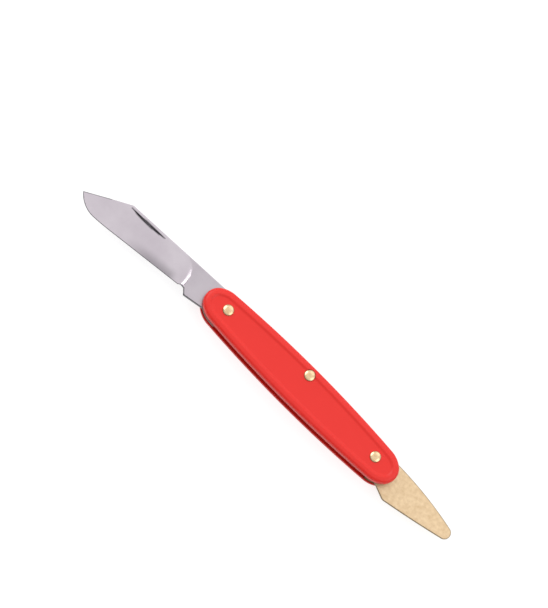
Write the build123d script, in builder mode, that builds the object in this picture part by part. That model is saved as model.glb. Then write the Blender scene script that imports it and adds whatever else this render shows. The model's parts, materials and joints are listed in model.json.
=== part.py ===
from build123d import *
import math
import os

# Folding budding knife: a pruning blade at one end and a flat bark lifter at the other, both
# folding into one side of a riveted handle with moulded scales.
#
# Frame: X runs along the handle, with the blade towards -X and the lifter towards +X.
# +Y is the back of the handle, and -Y is the open belly that both tools fold into.
# The rear scale's rim lies on Z = 0 and the front scale faces +Z.
# Outlines are drawn from the middle of the handle, which level() puts in its place, so that the
# origin is the bottom centre of the opened knife. Millimetres throughout.

# ---------------------------------------------------------------- handle outline
HANDLE_LENGTH = 100.9
HANDLE_WIDTH = 17.12
SIDE_R = 561.0                # the long sides are very slightly bowed
SHOULDER_R = 11.0             # from a side to a nose
NOSE_R = 6.0
OUTLINE_X = 0.3               # middle of the outline from the middle of the drawing

# ---------------------------------------------------------------- the stack, from the rear up
SCALE_T = 4.1
LINER_T = 0.4
LIFTER_LAYER_T = 1.6
BLADE_LAYER_T = 2.3
SIDE_PLAY = 0.05              # on each side of a tool in its layer

REAR_LINER_Z = SCALE_T
LIFTER_LAYER_Z = REAR_LINER_Z + LINER_T
CENTRE_LINER_Z = LIFTER_LAYER_Z + LIFTER_LAYER_T
BLADE_LAYER_Z = CENTRE_LINER_Z + LINER_T
FRONT_LINER_Z = BLADE_LAYER_Z + BLADE_LAYER_T
FRONT_SCALE_Z = FRONT_LINER_Z + LINER_T
HANDLE_T = FRONT_SCALE_Z + SCALE_T

# ---------------------------------------------------------------- scales
CROWN_INSET = 2.2             # the rim falls away outside this line
CROWN_DROP = 0.4
RIM_EDGE_R = 1.7
PANEL_DEPTH = 0.45            # flat panel sunk in the outer face
PANEL_INSET = 3.2             # its floor's outline from the handle's
PANEL_BEVEL = 45.0
PANEL_EDGE_R = 0.25

# ---------------------------------------------------------------- liners
METAL_INSET = 0.4             # liners and springs stop this far inside the scales
RELIEF_X = 42.0               # the belly edge of each liner is cut back between +-RELIEF_X
RELIEF_MID_Y = -6.9
RELIEF_END_Y = -5.9

# ---------------------------------------------------------------- rivets
BLADE_PIVOT = (-39.7, 0.5)
SPRING_PIN = (-0.15, 4.88)
LIFTER_PIVOT = (39.4, 0.6)
RIVET_R = 1.25
FIXED_PLAY = 0.03             # radial, in the pieces that the rivets clamp
RUNNING_PLAY = 0.05           # radial, in the turning tangs
HEAD_R = 2.3
HEAD_H = 0.9
HEAD_EDGE_H = 0.15
SEAT_R = 2.4
BURR_T = 0.5
BURR_SINK = 0.6               # seat of a burr below the rear panel
TAIL_R = 1.7
TAIL_H = 0.35
TAIL_EDGE_H = 0.08

# ---------------------------------------------------------------- slip joints
# A place on a tang is given by T, from the pivot towards mid-handle, and S, from the pivot
# towards the back of the handle.
CAM_FLAT_S = 3.6
CAM_FLAT_T = 2.0              # the flats end here and the rounded cam begins
NOTCH_T = -5.5                # the tool stops against the spring's end here
CLOSED_FLAT_RUN = 4.5
SPRING_GAP = 0.02
SPRING_END_T = -5.4
SPRING_FACE_T = 3.1
SPRING_STEP = (6.3, 4.6)      # (T, S) where the spring has risen clear of the closed tang
SPRING_BELLY_Y = 3.3          # underside of both springs at mid-handle
BLADE_SPRING_RISE = ((-21.0, 5.7), (-14.0, SPRING_BELLY_Y))    # over the closed blade's kick
BLADE_SPRING_LUG = ((24.0, SPRING_BELLY_Y), (35.0, 0.6))
BLADE_SPRING_END_X = 43.8
LIFTER_SPRING_RISE = ((21.5, 5.9), (15.0, SPRING_BELLY_Y))
LIFTER_SPRING_LUG = ((-26.0, SPRING_BELLY_Y), (-34.0, 0.5), (-38.5, -5.0), (-41.5, -12.0))
BLADE_CLOSED_DEG = 171.0
LIFTER_CLOSED_DEG = 166.0
BACK_Y = 12.0                 # beyond the back of the handle, where profiles are trimmed off
LUG_R = 4.4

# ---------------------------------------------------------------- blade
BLADE_T = BLADE_LAYER_T - 2 * SIDE_PLAY
BLADE_MID_Z = BLADE_LAYER_Z + BLADE_LAYER_T / 2
EDGE_T = 0.2
SPINE_AT_HANDLE = (-46.9, 6.42)
SPINE_HUMP = (-93.5, 4.17)
BLADE_TIP = (-111.1, -5.6)
BELLY_LOW = (-101.8, -10.0)
EDGE_END = (-93.5, -9.3)
HEEL = (-60.6, -5.27)
CHOIL = ((-59.6, -4.6), (-58.0, -4.6))
KICK = (-56.0, -6.75)
BLADE_TANG_EXIT = (-48.0, -5.3)
GRIND_HEIGHT = 11.1           # edge to the line where the grind fades into the flat
PLUNGE_R = 1.2
NICK_ENDS = ((-93.3, 3.0), (-76.1, 3.7))
NICK_BOWS = (0.1, -0.8)       # of its spine side and its edge side, from the line between its ends
NICK_DEPTH = 0.4

# ---------------------------------------------------------------- bark lifter
LIFTER_T = LIFTER_LAYER_T - 2 * SIDE_PLAY
LIFTER_BACK_Y = 6.3
LIFTER_BACK_MID = (62.0, 5.5)
LIFTER_BACK_END = (79.4, 2.8)
LIFTER_TIP = (81.6, 0.3)
LIFTER_LOW_END = (79.6, -2.3)
LIFTER_LOW_MID = (62.6, -6.1)
LIFTER_CORNER = (53.1, -7.95)
LIFTER_TANG_EXIT = (47.4, -5.75)
LIFTER_CORNER_R = 0.8
LIFTER_TIP_BLEND_R = 1.0
LIFTER_EDGE_R = 0.35
LIFTER_ROUNDED_X = 49.0       # its edges are rounded outside the handle only

# The opened knife reaches from the blade's tip to the lifter's, and from its lowest edge to
# the handle's back.
CENTRE_X = -(BLADE_TIP[0] + LIFTER_TIP[0]) / 2
CENTRE_Y = -(BELLY_LOW[1] + HANDLE_WIDTH / 2) / 2


def level(z):
    """The plane at height z whose origin is the middle of the handle."""
    return Plane((CENTRE_X, CENTRE_Y, z))


def handle_outline(inset):
    """The handle's outline offset inwards: bowed sides, shoulders and round noses, all tangent."""
    side = Vector(0, HANDLE_WIDTH / 2 - SIDE_R)
    nose = Vector(HANDLE_LENGTH / 2 - NOSE_R, 0)
    side_to_shoulder = SIDE_R - SHOULDER_R
    shoulder_to_nose = SHOULDER_R - NOSE_R
    apart = (nose - side).length
    along = (side_to_shoulder ** 2 - shoulder_to_nose ** 2 + apart ** 2) / (2 * apart)
    across = math.sqrt(side_to_shoulder ** 2 - along ** 2)
    ahead = (nose - side).normalized()
    shoulder = side + ahead * along + Vector(-ahead.Y, ahead.X) * across
    from_side = (shoulder - side).normalized()
    to_nose = (nose - shoulder).normalized()
    shoulder_start = side + from_side * (SIDE_R - inset)
    shoulder_middle = shoulder + (from_side + to_nose).normalized() * (SHOULDER_R - inset)
    nose_start = nose + to_nose * (NOSE_R - inset)
    with BuildSketch() as shape:
        with BuildLine():
            for end in (1, -1):
                nose_top = (end * nose_start.X, nose_start.Y)
                nose_low = (end * nose_start.X, -nose_start.Y)
                ThreePointArc(nose_top, (end * (HANDLE_LENGTH / 2 - inset), 0), nose_low)
                for back in (1, -1):
                    ThreePointArc(
                        (end * shoulder_start.X, back * shoulder_start.Y),
                        (end * shoulder_middle.X, back * shoulder_middle.Y),
                        (end * nose_start.X, back * nose_start.Y),
                    )
            for back in (1, -1):
                left = (-shoulder_start.X, back * shoulder_start.Y)
                right = (shoulder_start.X, back * shoulder_start.Y)
                ThreePointArc(left, (0, back * (HANDLE_WIDTH / 2 - inset)), right)
        make_face()
    return Pos(OUTLINE_X, 0) * shape.sketch


HANDLE_OUTLINE = handle_outline(0)
PANEL_OUTLINE = handle_outline(PANEL_INSET)
METAL_OUTLINE = handle_outline(METAL_INSET)
PINS = (BLADE_PIVOT, SPRING_PIN, LIFTER_PIVOT)


def bore(points, radius):
    """Round holes in the sketch being drawn."""
    with Locations(*points):
        Circle(radius, mode=Mode.SUBTRACT)


def tang_corners(pivot, tool_side, closed_deg):
    """Corners of a tang in drawing order, from its open notch round the cam to its closed flat.

    tool_side is -1 for a tool that points to -X and 1 for one that points to +X.
    """
    def place(t, s):
        return (pivot[0] - tool_side * t, pivot[1] + s)

    def polar(radius, degrees):
        angle = math.radians(degrees)
        return (radius * math.cos(angle), radius * math.sin(angle))

    cam_r = math.hypot(CAM_FLAT_T, CAM_FLAT_S)
    half_flat_deg = math.degrees(math.atan2(CAM_FLAT_T, CAM_FLAT_S))
    open_deg = 90 - half_flat_deg
    closed_foot_deg = 90 - closed_deg
    closed_start_deg = closed_foot_deg + half_flat_deg
    foot = polar(CAM_FLAT_S, closed_foot_deg)
    run = polar(CLOSED_FLAT_RUN, closed_foot_deg - 90)
    return (
        place(NOTCH_T, CAM_FLAT_S),
        place(CAM_FLAT_T, CAM_FLAT_S),
        place(*polar(cam_r, (open_deg + closed_start_deg) / 2)),
        place(*polar(cam_r, closed_start_deg)),
        place(foot[0] + run[0], foot[1] + run[1]),
    )


# ================================================================ moulded scales
# Both scales are one shape, mirrored; they differ only in their rivet seats.
with BuildPart() as scale_blank:
    with BuildSketch(level(FRONT_SCALE_Z)):
        add(HANDLE_OUTLINE)
    extrude(amount=SCALE_T)
    crown_line = scale_blank.faces().sort_by(Axis.Z)[-1].edges()
    chamfer(crown_line, length=CROWN_DROP, length2=CROWN_INSET)
    with BuildSketch(level(HANDLE_T - PANEL_DEPTH)):
        add(PANEL_OUTLINE)
    extrude(amount=PANEL_DEPTH, taper=-PANEL_BEVEL, mode=Mode.SUBTRACT)
    panel, rim_top = scale_blank.faces().filter_by(Plane.XY).sort_by(Axis.Z)[-2:]
    fillet(panel.edges() + rim_top.inner_wires()[0].edges(), radius=PANEL_EDGE_R)
    rim_z = HANDLE_T - CROWN_DROP
    fillet(scale_blank.edges().filter_by_position(Axis.Z, rim_z, rim_z), radius=RIM_EDGE_R)

rear_blank = mirror(scale_blank.part, about=Plane.XY.offset(HANDLE_T / 2))


def riveted_scale(blank, outer_z, seat_depth):
    """A scale with its rivet seats sunk into the face at outer_z and its rivet holes through."""
    inward = 1 if outer_z == 0 else -1
    with BuildPart() as made:
        add(blank)
        for radius, depth in ((SEAT_R, seat_depth), (RIVET_R + FIXED_PLAY, SCALE_T)):
            with BuildSketch(level(outer_z)):
                with Locations(*PINS):
                    Circle(radius)
            extrude(amount=inward * depth, mode=Mode.SUBTRACT)
    return made


front_scale = riveted_scale(scale_blank.part, HANDLE_T, PANEL_DEPTH)
rear_scale = riveted_scale(rear_blank, 0, PANEL_DEPTH + BURR_SINK)


# ================================================================ liners
with BuildSketch() as liner_outline:
    add(METAL_OUTLINE)
    with BuildLine():
        ThreePointArc((-RELIEF_X, RELIEF_END_Y), (0, RELIEF_MID_Y), (RELIEF_X, RELIEF_END_Y))
        Polyline(
            (RELIEF_X, RELIEF_END_Y),
            (RELIEF_X, -HANDLE_WIDTH),
            (-RELIEF_X, -HANDLE_WIDTH),
            (-RELIEF_X, RELIEF_END_Y),
        )
    make_face(mode=Mode.SUBTRACT)
    bore(PINS, RIVET_R + FIXED_PLAY)

with BuildPart() as front_liner:
    with BuildSketch(level(FRONT_LINER_Z)):
        add(liner_outline.sketch)
    extrude(amount=LINER_T)

with BuildPart() as centre_liner:
    with BuildSketch(level(CENTRE_LINER_Z)):
        add(liner_outline.sketch)
    extrude(amount=LINER_T)

with BuildPart() as rear_liner:
    with BuildSketch(level(REAR_LINER_Z)):
        add(liner_outline.sketch)
    extrude(amount=LINER_T)


# ================================================================ back springs
def spring_outline(pivot, tool_side, rise, lug, lug_end_x):
    """A back spring, from its free end on the tang along its underside to its lug.

    rise and lug are points of the underside, and the lug ends at lug_end_x.
    """
    def place(t, s):
        return (pivot[0] - tool_side * t, pivot[1] + s)

    face_s = CAM_FLAT_S + SPRING_GAP
    with BuildSketch() as shape:
        with BuildLine():
            Polyline(
                (pivot[0] - tool_side * SPRING_END_T, BACK_Y),
                place(SPRING_END_T, face_s),
                place(SPRING_FACE_T, face_s),
                place(*SPRING_STEP),
                *rise,
                *lug,
                (lug_end_x, lug[-1][1]),
                (lug_end_x, BACK_Y),
                close=True,
            )
        make_face()
        add(METAL_OUTLINE, mode=Mode.INTERSECT)
    return shape.sketch


with BuildPart() as blade_spring:
    with BuildSketch(level(BLADE_LAYER_Z)):
        add(spring_outline(
            BLADE_PIVOT, -1, BLADE_SPRING_RISE, BLADE_SPRING_LUG, BLADE_SPRING_END_X
        ))
        with Locations(LIFTER_PIVOT):
            Circle(LUG_R)
        bore((SPRING_PIN, LIFTER_PIVOT), RIVET_R + FIXED_PLAY)
    extrude(amount=BLADE_LAYER_T)

with BuildPart() as lifter_spring:
    with BuildSketch(level(LIFTER_LAYER_Z)):
        add(spring_outline(
            LIFTER_PIVOT, 1, LIFTER_SPRING_RISE, LIFTER_SPRING_LUG, -HANDLE_LENGTH
        ))
        bore((SPRING_PIN, BLADE_PIVOT), RIVET_R + FIXED_PLAY)
    extrude(amount=LIFTER_LAYER_T)


# ================================================================ blade
notch, cam_start, cam_middle, cam_end, closed_flat_end = tang_corners(
    BLADE_PIVOT, -1, BLADE_CLOSED_DEG
)
spine_slope = (SPINE_AT_HANDLE[1] - SPINE_HUMP[1]) / (SPINE_AT_HANDLE[0] - SPINE_HUMP[0])
notch_top = (notch[0], SPINE_AT_HANDLE[1] + spine_slope * (notch[0] - SPINE_AT_HANDLE[0]))
edge_line = Vector(EDGE_END[0] - HEEL[0], EDGE_END[1] - HEEL[1], 0).normalized()
belly_end_tangent = (-1, 0)

# The grind plane leaves half the edge thickness at the cutting edge and fades out at the flat
# of the blade, GRIND_HEIGHT above it. Its cutter runs along the edge and ends at the plunge.
grind_rise = math.atan2((BLADE_T - EDGE_T) / 2, GRIND_HEIGHT)
up_slope = Vector(
    edge_line.Y * math.cos(grind_rise), -edge_line.X * math.cos(grind_rise), math.sin(grind_rise)
)
GRIND_PLANE = Plane(
    origin=(HEEL[0] + CENTRE_X, HEEL[1] + CENTRE_Y, BLADE_MID_Z + EDGE_T / 2),
    x_dir=edge_line,
    z_dir=up_slope,
)
GRIND_RUN = 60.0              # past the tip
GRIND_CLEAR = 5.0             # clear above the face
GRIND_REACH = 25.0            # clear across the blade

with BuildPart() as blade:
    with BuildSketch(level(BLADE_MID_Z)):
        with BuildLine():
            Polyline(SPINE_HUMP, notch_top, notch, cam_start)
            ThreePointArc(cam_start, cam_middle, cam_end)
            Polyline(cam_end, closed_flat_end, BLADE_TANG_EXIT, KICK, *CHOIL[::-1], HEEL, EDGE_END)
            TangentArc(EDGE_END, BELLY_LOW, tangent=(edge_line.X, edge_line.Y))
            TangentArc(BELLY_LOW, BLADE_TIP, tangent=belly_end_tangent)
            Line(BLADE_TIP, SPINE_HUMP)
        make_face()
        bore((BLADE_PIVOT,), RIVET_R + RUNNING_PLAY)
    extrude(amount=BLADE_T / 2)
    with BuildSketch(GRIND_PLANE):
        with BuildLine():
            CenterArc((PLUNGE_R, PLUNGE_R), PLUNGE_R, 180, 90)
            Polyline(
                (PLUNGE_R, 0), (GRIND_RUN, 0), (GRIND_RUN, GRIND_CLEAR), (0, GRIND_CLEAR),
                (0, PLUNGE_R),
            )
        make_face()
    extrude(amount=GRIND_REACH, both=True, mode=Mode.SUBTRACT)
    mirror(about=Plane.XY.offset(BLADE_MID_Z))
    nick_middle_x = (NICK_ENDS[0][0] + NICK_ENDS[1][0]) / 2
    nick_middle_y = (NICK_ENDS[0][1] + NICK_ENDS[1][1]) / 2
    with BuildSketch(level(BLADE_MID_Z + BLADE_T / 2)):
        with BuildLine():
            for bow in NICK_BOWS:
                ThreePointArc(NICK_ENDS[0], (nick_middle_x, nick_middle_y + bow), NICK_ENDS[1])
        make_face()
    extrude(amount=-NICK_DEPTH, mode=Mode.SUBTRACT)


# ================================================================ bark lifter
notch, cam_start, cam_middle, cam_end, closed_flat_end = tang_corners(
    LIFTER_PIVOT, 1, LIFTER_CLOSED_DEG
)
lifter_back_start = (notch[0], LIFTER_BACK_Y)

with BuildPart() as bark_lifter:
    with BuildSketch(level(LIFTER_LAYER_Z + SIDE_PLAY)) as lifter_outline:
        with BuildLine():
            Polyline(lifter_back_start, notch, cam_start)
            ThreePointArc(cam_start, cam_middle, cam_end)
            Polyline(cam_end, closed_flat_end, LIFTER_TANG_EXIT, LIFTER_CORNER)
            ThreePointArc(LIFTER_CORNER, LIFTER_LOW_MID, LIFTER_LOW_END)
            ThreePointArc(LIFTER_LOW_END, LIFTER_TIP, LIFTER_BACK_END)
            ThreePointArc(LIFTER_BACK_END, LIFTER_BACK_MID, lifter_back_start)
        make_face()
        fillet(lifter_outline.vertices().sort_by(Axis.X)[-2:], radius=LIFTER_TIP_BLEND_R)
        fillet(lifter_outline.vertices().sort_by(Axis.Y)[0], radius=LIFTER_CORNER_R)
        bore((LIFTER_PIVOT,), RIVET_R + RUNNING_PLAY)
    extrude(amount=LIFTER_T)
    exposed_x = CENTRE_X + LIFTER_ROUNDED_X
    outer_edges = bark_lifter.edges().filter_by(Axis.Z, reverse=True)
    fillet(
        outer_edges.filter_by(lambda edge: edge.center().X > exposed_x), radius=LIFTER_EDGE_R
    )


# ================================================================ rivets and burrs
def rivet(pin):
    """A domed rivet from its head on the front panel to its peened tail on the rear burr."""
    head_z = HANDLE_T - PANEL_DEPTH
    burr_z = PANEL_DEPTH + BURR_SINK - BURR_T
    axis_plane = Plane(
        origin=(CENTRE_X + pin[0], CENTRE_Y + pin[1], 0), x_dir=(1, 0, 0), z_dir=(0, -1, 0)
    )
    with BuildPart() as made:
        with BuildSketch(axis_plane):
            with BuildLine():
                Polyline(
                    (0, head_z + HEAD_H), (0, burr_z - TAIL_H)
                )
                dome(TAIL_R, burr_z - TAIL_H, burr_z - TAIL_EDGE_H)
                Polyline(
                    (TAIL_R, burr_z - TAIL_EDGE_H), (TAIL_R, burr_z), (RIVET_R, burr_z),
                    (RIVET_R, head_z), (HEAD_R, head_z), (HEAD_R, head_z + HEAD_EDGE_H),
                )
                dome(HEAD_R, head_z + HEAD_H, head_z + HEAD_EDGE_H)
            make_face()
        revolve(axis=Axis(axis_plane.origin, (0, 0, 1)))
    return made.part


def dome(radius, crown_z, edge_z):
    """Half the profile of a shallow dome in the line being drawn, from its crown to its edge."""
    rise = crown_z - edge_z
    ball_r = (radius ** 2 + rise ** 2) / (2 * abs(rise))
    ball_z = crown_z - math.copysign(ball_r, rise)
    middle_r = radius / 2
    middle_z = ball_z + math.copysign(math.sqrt(ball_r ** 2 - middle_r ** 2), rise)
    ThreePointArc((0, crown_z), (middle_r, middle_z), (radius, edge_z))


def burr(pin):
    """The washer that a rivet's tail is peened over, in its seat in the rear scale."""
    with BuildPart() as made:
        with BuildSketch(level(PANEL_DEPTH + BURR_SINK)):
            with Locations(pin):
                Circle(HEAD_R)
                Circle(RIVET_R + FIXED_PLAY, mode=Mode.SUBTRACT)
        extrude(amount=-BURR_T)
    return made.part


with BuildPart() as blade_pivot_rivet:
    add(rivet(BLADE_PIVOT))

with BuildPart() as spring_rivet:
    add(rivet(SPRING_PIN))

with BuildPart() as lifter_pivot_rivet:
    add(rivet(LIFTER_PIVOT))

with BuildPart() as blade_pivot_burr:
    add(burr(BLADE_PIVOT))

with BuildPart() as spring_rivet_burr:
    add(burr(SPRING_PIN))

with BuildPart() as lifter_pivot_burr:
    add(burr(LIFTER_PIVOT))


# ================================================================ labels and files
os.makedirs("parts", exist_ok=True)

front_scale.part.label = "front_scale"
export_step(front_scale.part, "parts/front_scale.step")

rear_scale.part.label = "rear_scale"
export_step(rear_scale.part, "parts/rear_scale.step")

front_liner.part.label = "front_liner"
export_step(front_liner.part, "parts/front_liner.step")

centre_liner.part.label = "centre_liner"
export_step(centre_liner.part, "parts/centre_liner.step")

rear_liner.part.label = "rear_liner"
export_step(rear_liner.part, "parts/rear_liner.step")

blade_spring.part.label = "blade_spring"
export_step(blade_spring.part, "parts/blade_spring.step")

lifter_spring.part.label = "lifter_spring"
export_step(lifter_spring.part, "parts/lifter_spring.step")

blade.part.label = "blade"
export_step(blade.part, "parts/blade.step")

bark_lifter.part.label = "bark_lifter"
export_step(bark_lifter.part, "parts/bark_lifter.step")

blade_pivot_rivet.part.label = "blade_pivot_rivet"
export_step(blade_pivot_rivet.part, "parts/blade_pivot_rivet.step")

spring_rivet.part.label = "spring_rivet"
export_step(spring_rivet.part, "parts/spring_rivet.step")

lifter_pivot_rivet.part.label = "lifter_pivot_rivet"
export_step(lifter_pivot_rivet.part, "parts/lifter_pivot_rivet.step")

blade_pivot_burr.part.label = "blade_pivot_burr"
export_step(blade_pivot_burr.part, "parts/blade_pivot_burr.step")

spring_rivet_burr.part.label = "spring_rivet_burr"
export_step(spring_rivet_burr.part, "parts/spring_rivet_burr.step")

lifter_pivot_burr.part.label = "lifter_pivot_burr"
export_step(lifter_pivot_burr.part, "parts/lifter_pivot_burr.step")
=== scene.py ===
# %% [markdown]
# # A folding budding knife
# A gardener's knife with a steel blade at one end and a flat brass bark lifter at the other. Both
# fold into a handle of two red moulded scales. The knife's sizes, layers and hinges come from a
# packed engineering model, called the frame, so this lesson starts by loading that. Everything
# here is in metres in the frame's own space, with the knife lying on its rear scale.

# %% Load the frame
import json
import math

import bmesh
import bpy
import numpy as np
from mathutils import Matrix, Vector
from mathutils.geometry import delaunay_2d_cdt


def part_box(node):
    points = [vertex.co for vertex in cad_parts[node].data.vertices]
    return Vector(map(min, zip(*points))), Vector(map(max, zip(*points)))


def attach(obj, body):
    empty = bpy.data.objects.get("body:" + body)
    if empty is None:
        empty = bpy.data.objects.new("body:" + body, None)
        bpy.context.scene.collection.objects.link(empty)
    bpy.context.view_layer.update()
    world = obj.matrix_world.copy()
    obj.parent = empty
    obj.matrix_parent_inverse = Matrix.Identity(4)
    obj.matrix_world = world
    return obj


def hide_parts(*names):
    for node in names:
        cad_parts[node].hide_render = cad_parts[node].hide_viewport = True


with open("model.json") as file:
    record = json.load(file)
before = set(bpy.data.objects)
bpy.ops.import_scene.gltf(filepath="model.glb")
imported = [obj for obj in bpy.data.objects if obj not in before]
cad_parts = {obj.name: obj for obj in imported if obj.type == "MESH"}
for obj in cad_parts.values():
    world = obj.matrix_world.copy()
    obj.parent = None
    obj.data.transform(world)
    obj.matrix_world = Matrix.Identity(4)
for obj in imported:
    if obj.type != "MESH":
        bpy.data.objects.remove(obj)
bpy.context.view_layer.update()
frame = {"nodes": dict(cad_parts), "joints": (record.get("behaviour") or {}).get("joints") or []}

print("frame nodes:", ", ".join(sorted(frame["nodes"])))

# %% [markdown]
# ## Measures
# A knife maker works in millimetres from a mark near the middle of the handle, so the shapes
# below are drawn that way: x along the handle, y towards its back. One function puts a drawn
# point in its place. The mark, the layers and the rivets' places are read from the frame.

# %% Read the layers and the rivets' places
MM = 0.001
OUTLINE_X = 0.3                # the handle's own middle, from the mark that everything is drawn from
scale_low, scale_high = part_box("front_scale")
MIDDLE_X = (scale_low.x + scale_high.x) / 2 / MM - OUTLINE_X
MIDDLE_Y = (scale_low.y + scale_high.y) / 2 / MM
HALF_LENGTH = (scale_high.x - scale_low.x) / 2 / MM
HALF_WIDTH = (scale_high.y - scale_low.y) / 2 / MM


def layer(node):
    """The lowest and highest z of a frame node, in millimetres."""
    low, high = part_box(node)
    return low.z / MM, high.z / MM


def pin_place(node):
    """Where a rivet's axis stands, in millimetres from the drawing's mark."""
    low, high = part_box(node)
    return ((low.x + high.x) / 2 / MM - MIDDLE_X, (low.y + high.y) / 2 / MM - MIDDLE_Y)


BLADE_PIN = pin_place("blade_pivot_rivet")
SPRING_PIN = pin_place("spring_rivet")
LIFTER_PIN = pin_place("lifter_pivot_rivet")
PINS = (BLADE_PIN, SPRING_PIN, LIFTER_PIN)
print(f"handle {2 * HALF_LENGTH:.1f} x {2 * HALF_WIDTH:.1f} mm, pins at", PINS)

# %% [markdown]
# ## Outlines
# The handle's outline is two long bowed sides, four shoulders and two round noses. All of it is
# arcs of circles that meet smoothly, so an outline offset inwards keeps the same centres with
# smaller radii. Loops at different insets then have matching points for faces to be strung between.

# %% Draw plain arcs and the handle's outline


def circle_through(a, b, c):
    """Centre and radius of the circle through three points."""
    (ax, ay), (bx, by), (cx, cy) = a, b, c
    turn = 2 * (ax * (by - cy) + bx * (cy - ay) + cx * (ay - by))
    aa, bb, cc = ax * ax + ay * ay, bx * bx + by * by, cx * cx + cy * cy
    x = (aa * (by - cy) + bb * (cy - ay) + cc * (ay - by)) / turn
    y = (aa * (cx - bx) + bb * (ax - cx) + cc * (bx - ax)) / turn
    return (x, y), math.dist((x, y), a)


def arc(a, b, c, steps):
    """Points from a through b to c, without c."""
    (x, y), radius = circle_through(a, b, c)
    start, middle, end = (math.atan2(p[1] - y, p[0] - x) for p in (a, b, c))
    span = (end - start) % math.tau
    if (middle - start) % math.tau > span:
        span -= math.tau
    turns = [start + span * i / steps for i in range(steps)]
    return [(x + radius * math.cos(t), y + radius * math.sin(t)) for t in turns]


SIDE_R, SHOULDER_R, NOSE_R = 561.0, 11.0, 6.0
SIDE_STEPS, SHOULDER_STEPS, NOSE_STEPS = 40, 16, 10


def handle_loop(inset=0.0):
    """A closed loop of points round the handle, offset inwards by inset."""
    side_y, nose_x = HALF_WIDTH - SIDE_R, HALF_LENGTH - NOSE_R
    reach_a, reach_b = SIDE_R - SHOULDER_R, SHOULDER_R - NOSE_R
    apart = math.hypot(nose_x, side_y)
    along = (reach_a ** 2 - reach_b ** 2 + apart ** 2) / (2 * apart)
    across = math.sqrt(reach_a ** 2 - along ** 2)
    ux, uy = nose_x / apart, -side_y / apart
    shoulder = (along * ux - across * uy, side_y + along * uy + across * ux)
    side_turn = math.atan2(shoulder[1] - side_y, shoulder[0])
    nose_turn = math.atan2(-shoulder[1], nose_x - shoulder[0])
    runs = (
        ((0.0, side_y), SIDE_R - inset, math.pi / 2, side_turn, SIDE_STEPS),
        (shoulder, SHOULDER_R - inset, side_turn, nose_turn, SHOULDER_STEPS),
        ((nose_x, 0.0), NOSE_R - inset, nose_turn, 0.0, NOSE_STEPS),
    )
    quarter = []
    for (cx, cy), radius, start, end, steps in runs:
        for i in range(steps):
            turn = start + (end - start) * i / steps
            quarter.append((cx + radius * math.cos(turn), cy + radius * math.sin(turn)))
    quarter.append((HALF_LENGTH - inset, 0.0))
    half = quarter + [(x, -y) for x, y in quarter[-2::-1]]
    return [(OUTLINE_X + x, y) for x, y in half + [(-x, y) for x, y in half[-2:0:-1]]]


print("handle outline:", len(handle_loop()), "points")

# %% [markdown]
# ## From loops to a solid
# A moulded or turned piece can be made as a stack of loops with faces strung between neighbours
# and a face closing each end. The mesh is built in place, in metres, and its object stays at the
# origin. Edges that turn sharply are marked, and everything else is shaded smooth.

# %% Make mesh objects
SHARP_ANGLE = math.radians(32)


def in_place(x, y, z):
    return ((MIDDLE_X + x) * MM, (MIDDLE_Y + y) * MM, z * MM)


def tidy_mesh(mesh, merge_mm=0.0):
    """Merges doubles, turns normals outwards, and shades smooth between sharp edges."""
    build = bmesh.new()
    build.from_mesh(mesh)
    if merge_mm:
        bmesh.ops.remove_doubles(build, verts=build.verts, dist=merge_mm * MM)
    bmesh.ops.recalc_face_normals(build, faces=build.faces)
    build.to_mesh(mesh)
    build.free()
    mesh.shade_smooth()
    mesh.set_sharp_from_angle(angle=SHARP_ANGLE)


def add_object(name, mesh, material=None):
    """A new object for a tidied mesh."""
    tidy_mesh(mesh)
    made = bpy.data.objects.new(name, mesh)
    bpy.context.scene.collection.objects.link(made)
    if material:
        mesh.materials.append(material)
    return made


def stack(name, loops, material=None):
    """A closed solid from a list of loops, each a list of points in metres."""
    count = len(loops[0])
    points = [p for loop in loops for p in loop]
    faces = [tuple(range(count)), tuple(range(len(points) - count, len(points)))]
    for row in range(len(loops) - 1):
        for i in range(count):
            j = (i + 1) % count
            a, b = row * count, (row + 1) * count
            faces.append((a + i, a + j, b + j, b + i))
    mesh = bpy.data.meshes.new(name)
    mesh.from_pydata(points, [], faces)
    return add_object(name, mesh, material)


# %% [markdown]
# ## One function for every shader node
# Each material below is a handful of nodes. One function adds a node, sets it up and links it.
# Colours are written as sRGB hex values, as a paint chart gives them, and turned to the linear
# values that Blender calculates with. A pattern's scale is worked out from its real size. A mix
# node has several inputs of one name, so its two colours go in by number, 6 and 7, and come out
# as output 2.

# %% Helpers for materials


def add_node(tree, kind, inputs=None, **settings):
    """Adds a node. An input is a value, or another node's output socket to link."""
    made = tree.nodes.new(kind)
    for name, value in settings.items():
        setattr(made, name, value)
    for name, value in (inputs or {}).items():
        if isinstance(value, bpy.types.NodeSocket):
            tree.links.new(value, made.inputs[name])
        else:
            made.inputs[name].default_value = value
    return made


def srgb(code):
    """A linear RGBA colour from an sRGB hex code."""
    channels = [int(code[i:i + 2], 16) / 255 for i in (1, 3, 5)]
    linear = [c / 12.92 if c <= 0.04045 else ((c + 0.055) / 1.055) ** 2.4 for c in channels]
    return (*linear, 1.0)


def pattern_scale(size_mm):
    """The texture scale that makes a pattern's features about size_mm across."""
    return 1 / (size_mm * MM)


def start_material(name):
    material = bpy.data.materials.new(name)
    material.use_nodes = True
    tree = material.node_tree
    tree.nodes.clear()
    place = add_node(tree, "ShaderNodeTexCoord").outputs["Object"]
    return material, tree, place


def finish_material(tree, shader):
    add_node(tree, "ShaderNodeOutputMaterial", {"Surface": shader.outputs["BSDF"]})
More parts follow.
